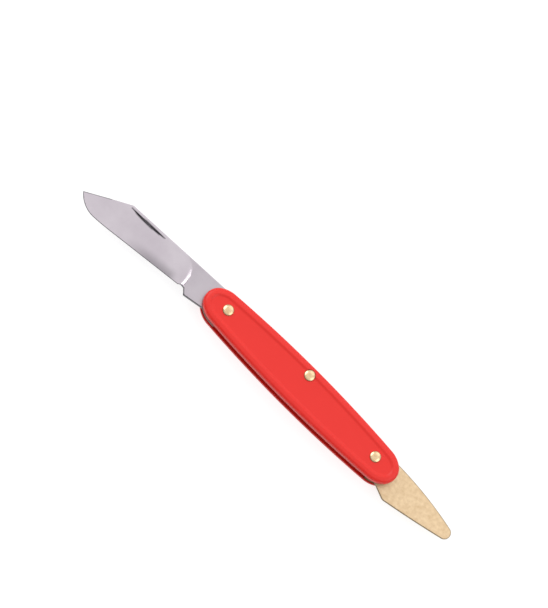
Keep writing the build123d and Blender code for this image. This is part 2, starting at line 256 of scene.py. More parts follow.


# %% [markdown]
# ## Red moulded plastic
# The scales are injection-moulded nylon in a signal red. The mould was spark-eroded and then
# polished, which leaves a soft gloss with a very fine pebble. Handling adds faint scuffs, which
# show as slightly rougher and paler streaks. Painted shade darkens the walls towards the seams and
# lowers their gloss there, for the shade in the gap between the scales. The pebble is drawn at
# 0.9 mm, coarser than the real 0.2 mm, because a finer one would vanish.

# %% Material: red moulded nylon
PEBBLE_MM, CLOUD_MM, SCUFF_MM = 0.9, 14.0, 2.2
PEBBLE_DEPTH_MM, SCUFF_STRENGTH = 0.05, 0.06
# Painted shade: how dark the walls get at the seams between the scales, and how far up it fades
SEAM_PAINTED_SHADE, SEAM_PAINTED_SHADE_MM = 0.32, 3.4
FRONT_SEAM_Z, REAR_SEAM_Z = layer("front_scale")[0] * MM, layer("rear_scale")[1] * MM


def red_nylon():
    material, tree, place = start_material("Red moulded nylon")
    clouds = add_node(tree, "ShaderNodeTexNoise",
                      {"Vector": place, "Scale": pattern_scale(CLOUD_MM), "Detail": 3.0})
    stretched = add_node(tree, "ShaderNodeMapping",
                         {"Vector": place, "Rotation": (0.0, 0.0, 0.5), "Scale": (0.12, 1.0, 1.0)})
    scuffs = add_node(tree, "ShaderNodeTexNoise",
                      {"Vector": stretched.outputs["Vector"], "Scale": pattern_scale(SCUFF_MM / 4),
                       "Detail": 6.0, "Roughness": 0.7})
    scuff_mask = add_node(tree, "ShaderNodeMapRange",
                          {"Value": scuffs.outputs["Fac"], "From Min": 0.58, "From Max": 0.72})
    base = add_node(tree, "ShaderNodeMix",
                    {"Factor": clouds.outputs["Fac"], 6: srgb("#E01C10"), 7: srgb("#E62014")},
                    data_type="RGBA")
    worn = add_node(tree, "ShaderNodeMath",
                    {0: scuff_mask.outputs["Result"], 1: SCUFF_STRENGTH}, operation="MULTIPLY")
    colour = add_node(tree, "ShaderNodeMix",
                      {"Factor": worn.outputs[0], 6: base.outputs[2], 7: srgb("#EE6A5E")},
                      data_type="RGBA")
    # Painted shade: towards the seams the colour darkens to a deep red and the gloss drops, for the
    # shade in the gap
    height = add_node(tree, "ShaderNodeSeparateXYZ", {"Vector": place})
    middle_z = (FRONT_SEAM_Z + REAR_SEAM_Z) / 2
    over = add_node(tree, "ShaderNodeMath", {0: height.outputs["Z"], 1: middle_z},
                    operation="SUBTRACT")
    from_middle = add_node(tree, "ShaderNodeMath", {0: over.outputs[0]}, operation="ABSOLUTE")
    seam = FRONT_SEAM_Z - middle_z
    seam_shade = add_node(tree, "ShaderNodeMapRange",
                    {"Value": from_middle.outputs[0], "From Min": seam,
                     "From Max": seam + SEAM_PAINTED_SHADE_MM * MM, "To Min": SEAM_PAINTED_SHADE, "To Max": 0.0},
                    interpolation_type="SMOOTHSTEP")
    seam_shaded = add_node(tree, "ShaderNodeMix",
                      {"Factor": seam_shade.outputs["Result"], 6: colour.outputs[2], 7: srgb("#4A0806")},
                      data_type="RGBA")
    sheen = add_node(tree, "ShaderNodeMapRange",
                     {"Value": seam_shade.outputs["Result"], "From Max": SEAM_PAINTED_SHADE,
                      "To Min": 0.5, "To Max": 0.04})
    gloss = add_node(tree, "ShaderNodeMapRange",
                     {"Value": scuff_mask.outputs["Result"], "To Min": 0.45, "To Max": 0.6})
    pebble = add_node(tree, "ShaderNodeTexNoise",
                      {"Vector": place, "Scale": pattern_scale(PEBBLE_MM), "Detail": 2.0})
    bump = add_node(tree, "ShaderNodeBump",
                    {"Height": pebble.outputs["Fac"], "Strength": 0.35,
                     "Distance": PEBBLE_DEPTH_MM * MM})
    shader = add_node(tree, "ShaderNodeBsdfPrincipled",
                      {"Base Color": seam_shaded.outputs[2], "Roughness": gloss.outputs["Result"],
                       "IOR": 1.5, "Specular IOR Level": sheen.outputs["Result"],
                       "Normal": bump.outputs["Normal"]})
    finish_material(tree, shader)
    return material


RED_NYLON = red_nylon()
print("material:", RED_NYLON.name)

# %% [markdown]
# ## Metals
# A metal's look is its colour, its roughness and the direction of its finest scratches. One
# recipe serves all the metals here: a base colour with a cloudy second tone, a stretched noise for
# the grinding or rolling marks, and a dark tone. The dark tone is mostly painted shade and painted
# reflection, with some patina on the lifter's rim. Where it lies follows an attribute that the
# blade, the lifter, the liners and the springs carry.

# %% A recipe for metals


def metal(name, tones, cloud_mm, grain_mm, grain_stretch, roughness, grain_depth_mm,
          painted_shade_and_patina="#2B2826", cloud_contrast=(0.35, 0.65)):
    """A metal with a cloudy tone, grain along or across the piece, and a dark tone where it's marked:
    painted shade, painted reflection and patina.
    """
    material, tree, place = start_material(name)
    clouds = add_node(tree, "ShaderNodeTexNoise",
                      {"Vector": place, "Scale": pattern_scale(cloud_mm), "Detail": 5.0,
                       "Roughness": 0.6})
    cloud_mask = add_node(tree, "ShaderNodeMapRange",
                          {"Value": clouds.outputs["Fac"], "From Min": cloud_contrast[0],
                           "From Max": cloud_contrast[1]})
    grained = add_node(tree, "ShaderNodeMapping", {"Vector": place, "Scale": grain_stretch})
    grain = add_node(tree, "ShaderNodeTexNoise",
                     {"Vector": grained.outputs["Vector"], "Scale": pattern_scale(grain_mm),
                      "Detail": 4.0, "Roughness": 0.65})
    clean = add_node(tree, "ShaderNodeMix",
                     {"Factor": cloud_mask.outputs["Result"], 6: srgb(tones[0]), 7: srgb(tones[1])},
                     data_type="RGBA")
    # Painted shade, painted reflection and patina: the attribute mixes in the dark tone
    marked = add_node(tree, "ShaderNodeAttribute", attribute_name="painted_shade_and_patina")
    colour = add_node(tree, "ShaderNodeMix",
                      {"Factor": marked.outputs["Fac"], 6: clean.outputs[2], 7: srgb(painted_shade_and_patina)},
                      data_type="RGBA")
    gloss = add_node(tree, "ShaderNodeMapRange",
                     {"Value": grain.outputs["Fac"], "From Min": 0.25, "From Max": 0.75,
                      "To Min": roughness[0], "To Max": roughness[1]})
    bump = add_node(tree, "ShaderNodeBump",
                    {"Height": grain.outputs["Fac"], "Strength": 0.35,
                     "Distance": grain_depth_mm * MM})
    shader = add_node(tree, "ShaderNodeBsdfPrincipled",
                      {"Base Color": colour.outputs[2], "Metallic": 1.0,
                       "Roughness": gloss.outputs["Result"], "Normal": bump.outputs["Normal"]})
    finish_material(tree, shader)
    return material


# %% [markdown]
# The blade is carbon steel, flat-ground across its width and then finely satin-finished, so its
# grain runs from spine to edge. The springs and the tangs are ground along their length. The
# lifter is half-hard brass sheet: rolled, blanked, tumbled, and scuffed by use. The liners are the
# same sheet, unpolished. The rivets' heads are turned brass and keep a brighter polish.

# %% Materials: steel and brass
BLADE_STEEL = metal(
    "Satin-ground blade steel", ("#C7BEC6", "#D1C9D0"), cloud_mm=14.0, grain_mm=0.35,
    grain_stretch=(1.0, 0.06, 1.0), roughness=(0.28, 0.34), grain_depth_mm=0.002,
    painted_shade_and_patina="#232429",
)
# The springs' dark tone is a brown painted shade on their walls
SPRING_STEEL = metal(
    "Ground spring steel", ("#9C9A9E", "#B5B3B6"), cloud_mm=6.0, grain_mm=0.3,
    grain_stretch=(0.08, 1.0, 1.0), roughness=(0.3, 0.42), grain_depth_mm=0.005, painted_shade_and_patina="#6E3F2A",
)
LIFTER_BRASS = metal(
    "Scuffed sheet brass", ("#DABD96", "#EED4AF"), cloud_mm=1.6, grain_mm=0.5,
    grain_stretch=(0.35, 1.0, 1.0), roughness=(0.34, 0.5), grain_depth_mm=0.006,
    painted_shade_and_patina="#40352A", cloud_contrast=(0.3, 0.7),
)
LINER_BRASS = metal(
    "Rolled liner brass", ("#A9844E", "#BC9560"), cloud_mm=4.0, grain_mm=0.3,
    grain_stretch=(0.1, 1.0, 1.0), roughness=(0.32, 0.45), grain_depth_mm=0.004,
)
RIVET_BRASS = metal(
    "Polished rivet brass", ("#E3C196", "#EDD0A8"), cloud_mm=1.2, grain_mm=0.5,
    grain_stretch=(1.0, 1.0, 1.0), roughness=(0.2, 0.3), grain_depth_mm=0.01,
)
for made in (BLADE_STEEL, SPRING_STEEL, LIFTER_BRASS, LINER_BRASS, RIVET_BRASS):
    print("material:", made.name)

# %% [markdown]
# ## The moulded scales
# Each scale is one moulding: a flat back, a straight side wall, a rounded edge, a rim that rises
# gently inwards, and a sunk flat panel behind a short soft bevel. That is a stack of loops, each
# the handle's outline at another inset. The rivets' seats and holes are then cut with turned
# cutters.

# %% Shape of a scale's section
SCALE_T = layer("front_scale")[1] - layer("front_scale")[0]
BACK_EDGE_R = 0.18
RIM_EDGE_R = 1.7
RIM_STEPS, BACK_STEPS = 12, 3
CROWN_INSET, CROWN_DROP, CROWN_EASE = 2.2, 0.4, 0.004
PANEL_INSET, PANEL_DEPTH = 3.2, 0.45
# each step of the panel's bevel: outwards from the panel's edge, and down from the rim's top
PANEL_STEPS = ((0.9, 0.0), (0.78, 0.012), (0.64, 0.05), (0.45, 0.13), (0.2, 0.25), (0.0, 0.34),
               (-0.2, 0.405), (-0.4, 0.44), (-0.6, 0.45))
SEAT_R, BORE_R = 2.4, 1.28
CUT_SIDES = 64


def rim_section():
    """(inset, height above the back) of each rim loop, from the back face to the rim's top."""
    section = []
    for i in range(BACK_STEPS + 1):
        turn = math.pi / 2 * i / BACK_STEPS
        section.append((BACK_EDGE_R * (1 - math.sin(turn)), BACK_EDGE_R * (1 - math.cos(turn))))
    slope = math.atan2(CROWN_DROP, CROWN_INSET)
    ball_h = SCALE_T - CROWN_DROP + RIM_EDGE_R * (math.tan(slope) - 1 / math.cos(slope))
    section.append((0.0, (BACK_EDGE_R + ball_h) / 2))
    for i in range(RIM_STEPS + 1):
        turn = math.pi - (math.pi / 2 - slope) * i / RIM_STEPS
        section.append((RIM_EDGE_R * (1 + math.cos(turn)), ball_h + RIM_EDGE_R * math.sin(turn)))
    section.append((CROWN_INSET, SCALE_T - CROWN_EASE))
    return section


def turned(name, x, y, steps):
    """A turned solid on the upright axis at (x, y), from (radius, z) steps."""
    loops = []
    for radius, z in steps:
        ring = [math.tau * i / CUT_SIDES for i in range(CUT_SIDES)]
        loops.append([in_place(x + radius * math.cos(t), y + radius * math.sin(t), z) for t in ring])
    return stack(name, loops)


def scale(name, back_z, outward, seat_sink):
    """A moulded scale whose flat back is at back_z and whose panel faces outward (+1 or -1)."""
    loops = []
    for inset, height in rim_section():
        loops.append([in_place(x, y, back_z + outward * height) for x, y in handle_loop(inset)])
    for outset, drop in PANEL_STEPS:
        z = back_z + outward * (SCALE_T - drop)
        loops.append([in_place(x, y, z) for x, y in handle_loop(PANEL_INSET - outset)])
    made = stack(name, loops, RED_NYLON)
    seat_z = back_z + outward * (SCALE_T - PANEL_DEPTH - seat_sink)
    for x, y in PINS:
        steps = ((BORE_R, back_z - outward), (BORE_R, seat_z), (SEAT_R, seat_z),
                 (SEAT_R, back_z + outward * (SCALE_T + 1)))
        cutter = turned(name + "_cutter", x, y, steps)
        cut = made.modifiers.new("Rivet seat", "BOOLEAN")
        cut.object, cut.operation, cut.solver = cutter, "DIFFERENCE", "EXACT"
        bake_modifiers(made)
        bpy.data.objects.remove(cutter)
    made.data.shade_smooth()
    made.data.set_sharp_from_angle(angle=SHARP_ANGLE)
    return made


def bake_modifiers(made):
    """Replaces an object's mesh by the result of its modifiers, and removes them."""
    graph = bpy.context.evaluated_depsgraph_get()
    result = bpy.data.meshes.new_from_object(made.evaluated_get(graph))
    made.modifiers.clear()
    made.data = result


# %% Make both scales
BURR_SINK = 0.6
front_scale = scale("front_scale_moulding", layer("front_scale")[0], 1, 0.0)
rear_scale = scale("rear_scale_moulding", layer("rear_scale")[1], -1, BURR_SINK)
for made, node in ((front_scale, "front_scale"), (rear_scale, "rear_scale")):
    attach(made, "handle")
    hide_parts(node)
    print(made.name, len(made.data.polygons), "faces")

# %% [markdown]
# ## Plates
# The blade, the lifter, the liners and the springs are all cut from sheet: a flat shape with a
# thickness that may vary from place to place. One function makes them. It triangulates the shape
# with extra points inside, lifts each point by a thickness rule on both sides, and closes the
# edge with a wall. It also stores how dark each point is painted, for the metal's colour: mostly
# painted shade and painted reflection, with some patina on the lifter.

# %% Fill an outline with points


def inside(polygon, points):
    """Which points lie inside a closed polygon."""
    a = np.asarray(polygon, float)
    b = np.roll(a, -1, axis=0)
    x, y = points[:, 0, None], points[:, 1, None]
    crosses = (a[:, 1] > y) != (b[:, 1] > y)
    rise = np.where(b[:, 1] == a[:, 1], 1e-12, b[:, 1] - a[:, 1])
    left = x < a[:, 0] + (y - a[:, 1]) * (b[:, 0] - a[:, 0]) / rise
    return np.count_nonzero(crosses & left, axis=1) % 2 == 1


def distance_to(path, points, closed=True):
    """Each point's distance to a polyline."""
    a = np.asarray(path, float)
    b = np.roll(a, -1, axis=0)
    if not closed:
        a, b = a[:-1], b[:-1]
    run = b - a
    length = np.maximum((run ** 2).sum(1), 1e-12)
    best = np.full(len(points), 1e9)
    for start, along, square in zip(a, run, length):
        share = np.clip(((points - start) @ along) / square, 0, 1)
        gap = np.linalg.norm(points - start - share[:, None] * along, axis=1)
        best = np.minimum(best, gap)
    return best


def resample(path, spacing, closed=True):
    """Points about spacing apart along a polyline, keeping its corners."""
    ends = path[1:] + ([path[0]] if closed else [])
    dense = []
    for a, b in zip(path, ends):
        steps = max(1, round(math.dist(a, b) / spacing))
        dense += [(a[0] + (b[0] - a[0]) * i / steps, a[1] + (b[1] - a[1]) * i / steps)
                  for i in range(steps)]
    return dense if closed else dense + [path[-1]]


def inward(loop, gap):
    """Points of a loop moved gap along the inward normal, where the loop leaves room for them."""
    points = np.asarray(loop, float)
    along = np.roll(points, -1, axis=0) - np.roll(points, 1, axis=0)
    normal = np.stack((-along[:, 1], along[:, 0]), 1)
    normal /= np.linalg.norm(normal, axis=1, keepdims=True)
    x, y = points.T
    area = 0.5 * np.sum(x * np.roll(y, -1) - y * np.roll(x, -1))
    moved = points + normal * gap * (1 if area > 0 else -1)
    return moved[distance_to(loop, moved) > gap * 0.97]


# %% Make a plate
# The band is an extra ring of points inside the edge rounding, so that painted shade along the edges
# stays smooth
EDGE_SPACING, PAINTED_SHADE_BAND, HOLE_SIDES = 0.6, 0.24, 40
CLEAR_OF_BAND, CLEAR_OF_LINE = 0.15, 0.08


def plate(name, outline, material, top, bottom, holes=(), lines=(), spacing=1.5, edge_r=0.1,
          trim=None, edge_steps=3, painted_shade_and_patina=None):
    """A plate between bottom(points, edge_mm) and top(points, edge_mm), both giving z in mm.

    lines are polylines that edges must follow, trim is a second outline to stay inside, and
    the last argument, a rule of (points, edge_mm), gives how dark each point is painted, from 0 to 1:
    mostly painted shade and painted reflection, with some patina.
    """
    loops = [resample(outline, EDGE_SPACING)]
    if trim:
        loops.append(trim)
    for x, y, radius in holes:
        turns = [math.tau * i / HOLE_SIDES for i in range(HOLE_SIDES)]
        loops.append([(x + radius * math.cos(t), y + radius * math.sin(t)) for t in turns])
    points, edges = [], []
    for loop in loops:
        start = len(points)
        points += loop
        edges += [(start + i, start + (i + 1) % len(loop)) for i in range(len(loop))]
    for line in lines:
        start = len(points)
        points += line
        edges += [(start + i, start + i + 1) for i in range(len(line) - 1)]
    edge_sets = [np.asarray(loop, float) for loop in loops]

    def kept(at):
        keep = inside(outline, at)
        if trim:
            keep &= inside(trim, at)
        for loop in loops[len(loops) - len(holes):]:
            keep &= ~inside(loop, at)
        return keep

    def edge_distance(at):
        return np.min([distance_to(loop, at) for loop in edge_sets], axis=0)

    low, high = edge_sets[0].min(0), edge_sets[0].max(0)
    columns, rows = (np.arange(low[i], high[i], spacing) for i in (0, 1))
    grid_x, grid_y = np.meshgrid(columns, rows)
    grid = np.stack((grid_x.ravel(), grid_y.ravel()), 1)
    grid[:, 0] += (np.arange(len(grid)) // grid_x.shape[1] % 2) * spacing / 2
    grid = grid[kept(grid)]
    gaps = [edge_r * (1 - math.cos(math.pi / 2 * i / edge_steps)) for i in range(1, edge_steps + 1)]
    gaps.append(edge_r + PAINTED_SHADE_BAND)
    free = [grid[edge_distance(grid) > gaps[-1] + CLEAR_OF_BAND]]
    for gap in gaps:
        ring = inward(loops[0], gap)
        free.append(ring[kept(ring)])
    free = np.concatenate(free)
    for line in lines:
        free = free[distance_to(line, free, closed=False) > CLEAR_OF_LINE]
    points += [tuple(p) for p in free]
    vertices, _, faces, *_ = delaunay_2d_cdt([Vector(p) for p in points], edges, [], 0, 1e-5)
    flat = np.array([tuple(v) for v in vertices])
    centres = np.array([flat[list(f)].mean(0) for f in faces])
    faces = [f for f, keep in zip(faces, kept(centres)) if keep]
    return skin_plate(name, flat, faces, edge_distance(flat), top, bottom, material, painted_shade_and_patina)


def skin_plate(name, flat, faces, edge_mm, top, bottom, material, painted_shade_and_patina):
    """Lifts flat faces to both sides of a plate and closes its edge."""
    used = sorted({i for f in faces for i in f})
    renumber = {old: new for new, old in enumerate(used)}
    faces = [tuple(renumber[i] for i in f) for f in faces]
    flat, edge_mm = flat[used], edge_mm[used]
    high, low = top(flat, edge_mm), bottom(flat, edge_mm)
    count = len(flat)
    sides = {}
    for f in faces:
        for a, b in zip(f, f[1:] + f[:1]):
            if sides.pop((b, a), None) is None:
                sides[(a, b)] = True
    points = [in_place(x, y, z) for (x, y), z in zip(flat, high)]
    points += [in_place(x, y, z) for (x, y), z in zip(flat, low)]
    walls = [(b, a, a + count, b + count) for a, b in sides]
    backs = [tuple(i + count for i in reversed(f)) for f in faces]
    mesh = bpy.data.meshes.new(name)
    mesh.from_pydata(points, [], list(faces) + backs + walls)
    made = add_object(name, mesh, material)
    # Stores each point's painted shade, and patina, as an attribute
    if painted_shade_and_patina:
        dark = made.data.attributes.new("painted_shade_and_patina", "FLOAT", "POINT")
        dark.data.foreach_set("value", np.tile(painted_shade_and_patina(flat, edge_mm), 2).astype(np.float32))
    return made


def rounding(edge_mm, radius):
    """How far a rounded edge has dropped at each distance from the edge."""
    rest = np.clip(radius - edge_mm, 0, radius)
    return radius - np.sqrt(np.maximum(radius ** 2 - rest ** 2, 0))


# %% [markdown]
# ## Tangs and springs
# Inside the handle each tool ends in a tang with two flats and a rounded cam. A back spring
# presses on the flat that faces it, which holds the tool open or closed. A place on a tang is
# given by t, from the pivot towards mid-handle, and s, from the pivot towards the handle's back.

# %% Corners of the tangs
CAM_FLAT_S, CAM_FLAT_T, NOTCH_T, CLOSED_RUN = 3.6, 2.0, -5.5, 4.5
BLADE_CLOSED, LIFTER_CLOSED = (joint["range_deg"][1] for joint in frame["joints"])
CAM_STEPS = 24


def tang(pin, tool_side, closed_deg):
    """Points from the open notch round the cam to the end of the closed flat."""
    half_flat = math.atan2(CAM_FLAT_T, CAM_FLAT_S)
    foot = math.pi / 2 - math.radians(closed_deg)
    cam_r = math.hypot(CAM_FLAT_T, CAM_FLAT_S)
    local = [(NOTCH_T, CAM_FLAT_S)]
    start, end = math.pi / 2 - half_flat, foot + half_flat
    for i in range(CAM_STEPS + 1):
        turn = start + (end - start) * i / CAM_STEPS
        local.append((cam_r * math.cos(turn), cam_r * math.sin(turn)))
    local.append((CAM_FLAT_S * math.cos(foot) + CLOSED_RUN * math.sin(foot),
                  CAM_FLAT_S * math.sin(foot) - CLOSED_RUN * math.cos(foot)))
    return [(pin[0] - tool_side * t, pin[1] + s) for t, s in local]


# %% [markdown]
# ## The blade
# The blade is a clip point: a straight spine, a straight clip down to a low tip, and an edge that
# curves up to meet it. It is ground thin from near the spine to the edge, and the grind ends near
# the handle in a curved plunge, the mark of the wheel's rim. A thumbnail nick is cut near the
# spine. Its thickness is a rule of the distance to the cutting edge, so the grind follows the
# edge round the belly to the tip.

# %% Shape of the blade
BLADE_LOW, BLADE_HIGH = layer("blade")
BLADE_MID, BLADE_HALF_T = (BLADE_LOW + BLADE_HIGH) / 2, (BLADE_HIGH - BLADE_LOW) / 2
SPINE_HUMP, BLADE_TIP = (-93.5, 4.17), (-111.1, -5.6)
SPINE_AT_HANDLE = (-46.9, 6.42)
BELLY_LOW, EDGE_END, HEEL = (-101.8, -10.0), (-93.5, -9.3), (-60.6, -5.27)
CHOIL = ((-59.6, -4.6), (-58.0, -4.6))
KICK, TANG_EXIT = (-56.0, -6.75), (-48.0, -5.3)
EDGE_HALF_T, GRIND_HEIGHT, HOLLOW = 0.06, 11.1, 0.06
RUN_OUT_R, RUN_OUT_EASING = 2.3, 7.0
PLUNGE = [(-58.1, -8.0), (-58.1, -5.5), (-58.3, -3.7), (-58.6, -1.7), (-59.3, 0.6), (-60.4, 2.5),
          (-62.0, 3.9), (-64.5, 5.0), (-68.0, 5.6), (-74.0, 5.9)]
NICK_ENDS, NICK_BOWS = ((-93.3, 3.0), (-76.1, 3.7)), (0.1, -0.8)
NICK_DEPTH, NICK_WALL = 0.4, 0.12
NICK_SLOPE = 0.5
SPINE_EDGE_R, TOOL_BORE_R = 0.12, 1.3


def between(a, b, share):
    return (a[0] + (b[0] - a[0]) * share, a[1] + (b[1] - a[1]) * share)


def tangent_arc(start, heading, end, steps):
    """Points of the arc that leaves start along heading and ends at end, without end."""
    hx, hy = heading
    dx, dy = end[0] - start[0], end[1] - start[1]
    side = hx * dy - hy * dx
    radius = (dx * dx + dy * dy) / (2 * side)
    cx, cy = start[0] - hy * radius, start[1] + hx * radius
    turn = 2 * math.atan2(side, hx * dx + hy * dy)
    first = math.atan2(start[1] - cy, start[0] - cx)
    return [(cx + abs(radius) * math.cos(first + turn * i / steps),
             cy + abs(radius) * math.sin(first + turn * i / steps)) for i in range(steps)]


edge_length = math.dist(HEEL, EDGE_END)
EDGE_WAY = ((EDGE_END[0] - HEEL[0]) / edge_length, (EDGE_END[1] - HEEL[1]) / edge_length)
belly = tangent_arc(EDGE_END, EDGE_WAY, BELLY_LOW, 14)
belly += tangent_arc(BELLY_LOW, (-1.0, 0.0), BLADE_TIP, 16)
CUTTING_EDGE = [HEEL, EDGE_END] + belly[1:] + [BLADE_TIP]
spine_slope = (SPINE_AT_HANDLE[1] - SPINE_HUMP[1]) / (SPINE_AT_HANDLE[0] - SPINE_HUMP[0])
blade_tang = tang(BLADE_PIN, -1, BLADE_CLOSED)
notch_x = blade_tang[0][0]
notch_top = (notch_x, SPINE_AT_HANDLE[1] + spine_slope * (notch_x - SPINE_AT_HANDLE[0]))
BLADE_OUTLINE = ([SPINE_HUMP, notch_top] + blade_tang + [TANG_EXIT, KICK, *CHOIL[::-1]] + CUTTING_EDGE)


def nick_side(bow, steps=48):
    """One side of the nick, from its tip end to its handle end."""
    middle = between(*NICK_ENDS, 0.5)
    return arc(NICK_ENDS[0], (middle[0], middle[1] + bow), NICK_ENDS[1], steps) + [NICK_ENDS[1]]


NICK_TOP, NICK_LOW = (nick_side(bow) for bow in NICK_BOWS)
NICK_LOOP = NICK_TOP[:-1] + NICK_LOW[:0:-1]


def soft_step(value, start, end):
    """0 at start and beyond, 1 at end and beyond, smooth between."""
    share = np.clip((value - start) / (end - start), 0, 1)
    return share * share * (3 - 2 * share)


def past_plunge(points):
    """How far each point lies beyond the plunge, towards the tip."""
    line_x, line_y = np.array(PLUNGE).T
    return np.interp(points[:, 1], line_y, line_x) - points[:, 0]


def blade_half_thickness(points, edge_mm):
    """The blade's half thickness at each point: ground, with a run-out, and edges just broken."""
    to_edge = distance_to(CUTTING_EDGE, points, closed=False)
    ground = EDGE_HALF_T + to_edge * (BLADE_HALF_T - EDGE_HALF_T) / GRIND_HEIGHT
    ground -= HOLLOW * np.sin(np.pi * np.clip(to_edge / GRIND_HEIGHT, 0, 1))
    ground = np.minimum(ground, BLADE_HALF_T)
    drop = BLADE_HALF_T - ground
    wheel_r = RUN_OUT_R + RUN_OUT_EASING * soft_step(points[:, 1], -1.0, 3.0)
    reach = np.sqrt(2 * wheel_r * drop - drop ** 2)
    rest = np.clip(reach - past_plunge(points), 0, reach)
    half = ground + wheel_r - np.sqrt(wheel_r ** 2 - rest ** 2)
    blunt = np.where(to_edge < edge_mm + 0.05, 0.0, 1.0)
    return np.maximum(half - rounding(edge_mm, SPINE_EDGE_R) * blunt, EDGE_HALF_T * 0.5)


def nick_depth(points):
    """How deep the nick is at each point: a steep wall on the spine side, sloping out below."""
    to_top = distance_to(NICK_TOP, points, closed=False)
    to_low = distance_to(NICK_LOW, points, closed=False)
    deep = NICK_DEPTH * np.minimum(1, to_top / NICK_WALL) * np.minimum(1, to_low / NICK_SLOPE)
    return np.where(inside(NICK_LOOP, points), deep, 0)


# Painted shade along the belly-side edges, in the nick and at the choil; painted darker reflection
# near the cutting edge and on the unground flat before the plunge
UNDER_SHADE_SHARE, NICK_SHADE_SHARE, EDGE_REFLECTION_SHARE, UNGROUND_REFLECTION_SHARE = 0.95, 0.75, 0.4, 0.13
CHOIL_SHADOW = np.array((-59.1, -4.6))
EDGE_REFLECTION_FROM, EDGE_REFLECTION_TO, EDGE_REFLECTION_HEIGHT = (-89.0, -73.0), (-61.5, -66.0), 4.6


def blade_painted_shade(points, edge_mm):
    """Painted shade in the nick, along the under side and at the choil, and painted darker reflection
    near the edge and before the grind.
    """
    x, y = points.T
    to_edge = distance_to(CUTTING_EDGE, points, closed=False)
    under_shade = soft_step(edge_mm, 0.32, 0.05) * np.where(y < 0, UNDER_SHADE_SHARE, 0.0)
    to_nick = distance_to(NICK_LOOP, points)
    nick_shade = NICK_SHADE_SHARE * np.where(inside(NICK_LOOP, points), 1.0, soft_step(to_nick, 0.2, 0.05))
    choil_shadow = soft_step(np.hypot(*(points - CHOIL_SHADOW).T), 0.8, 0.2)
    # Painted reflection: darker near the edge over a stretch towards the heel, and on the unground
    # flat
    edge_reflection = EDGE_REFLECTION_SHARE * soft_step(to_edge, EDGE_REFLECTION_HEIGHT, 0.2)
    edge_reflection *= soft_step(x, *EDGE_REFLECTION_FROM) * soft_step(x, *EDGE_REFLECTION_TO)
    unground_reflection = UNGROUND_REFLECTION_SHARE * soft_step(past_plunge(points), 0.1, -0.2)
    return np.maximum.reduce((under_shade, nick_shade, choil_shadow, edge_reflection, unground_reflection))


# %% Make the blade
nick_floor = [tuple(p) for p in inward(NICK_LOOP, NICK_WALL)]
blade = plate(
    "pruning_blade_leaf", BLADE_OUTLINE, BLADE_STEEL,
    top=lambda at, edge: BLADE_MID + blade_half_thickness(at, edge) - nick_depth(at),
    bottom=lambda at, edge: BLADE_MID - blade_half_thickness(at, edge),
    holes=((*BLADE_PIN, TOOL_BORE_R),), painted_shade_and_patina=blade_painted_shade, spacing=0.45, edge_r=SPINE_EDGE_R,
    lines=[NICK_LOOP + NICK_LOOP[:1], nick_floor + nick_floor[:1],
           resample(PLUNGE[1:], 0.3, closed=False)],
)
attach(blade, "pruning_blade")
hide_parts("blade")
print(blade.name, len(blade.data.polygons), "faces")

# %% [markdown]
# ## The bark lifter
# A gardener lifts the bark flap of a rose with this blunt leaf. It is brass, which doesn't cut
# or stain the wood, and its edges are rounded all the way round. It is a plate again, with a
# larger edge rounding and a slight thinning towards its tip.

# %% Make the bark lifter
LIFTER_LOW, LIFTER_HIGH = layer("bark_lifter")
LIFTER_MID, LIFTER_HALF_T = (LIFTER_LOW + LIFTER_HIGH) / 2, (LIFTER_HIGH - LIFTER_LOW) / 2
LIFTER_EDGE_R, LIFTER_TIP_THINNING, LIFTER_CORNER_R = 0.35, 0.22, 0.8
# The lifter's rounded rim is darker: partly patina, partly painted shade for the dark reflection on
# its edges
LIFTER_RIM_PATINA_AND_SHADE = 0.65
LIFTER_TANG_EXIT, LIFTER_CORNER, LIFTER_LOW_MID = (47.4, -5.75), (53.1, -7.95), (62.6, -6.1)
LIFTER_LOW_END, LIFTER_TIP, LIFTER_BACK_END = (79.6, -2.3), (81.6, 0.3), (79.4, 2.8)
LIFTER_BACK_MID, LIFTER_BACK_Y = (62.0, 5.5), 6.3
lifter_tang = tang(LIFTER_PIN, 1, LIFTER_CLOSED)
lifter_back_start = (lifter_tang[0][0], LIFTER_BACK_Y)


def rounded_corner(before, corner, after, radius, steps=6):
    """Points of a rounded corner between two straight runs."""
    a = (before[0] - corner[0], before[1] - corner[1])
    b = (after[0] - corner[0], after[1] - corner[1])
    la, lb = math.hypot(*a), math.hypot(*b)
    p = (corner[0] + a[0] / la * radius, corner[1] + a[1] / la * radius)
    q = (corner[0] + b[0] / lb * radius, corner[1] + b[1] / lb * radius)
    curve = []
    for i in range(steps + 1):
        share = i / steps
        curve.append(between(between(p, corner, share), between(corner, q, share), share))
    return curve


LIFTER_OUTLINE = (
    [lifter_back_start] + lifter_tang + [LIFTER_TANG_EXIT]
    + rounded_corner(LIFTER_TANG_EXIT, LIFTER_CORNER, LIFTER_LOW_MID, LIFTER_CORNER_R)
    + arc(LIFTER_CORNER, LIFTER_LOW_MID, LIFTER_LOW_END, 30)[2:]
    + arc(LIFTER_LOW_END, LIFTER_TIP, LIFTER_BACK_END, 16)
    + arc(LIFTER_BACK_END, LIFTER_BACK_MID, lifter_back_start, 40)
)


def lifter_half_thickness(points, edge_mm):
    """The lifter's half thickness at each point: thinner to the tip, and rounded at its edges."""
    thinning_run = LIFTER_TIP[0] - LIFTER_BACK_MID[0]
    towards_tip = np.clip((points[:, 0] - LIFTER_BACK_MID[0]) / thinning_run, 0, 1)
    return LIFTER_HALF_T - LIFTER_TIP_THINNING * towards_tip ** 2 - rounding(edge_mm, LIFTER_EDGE_R)


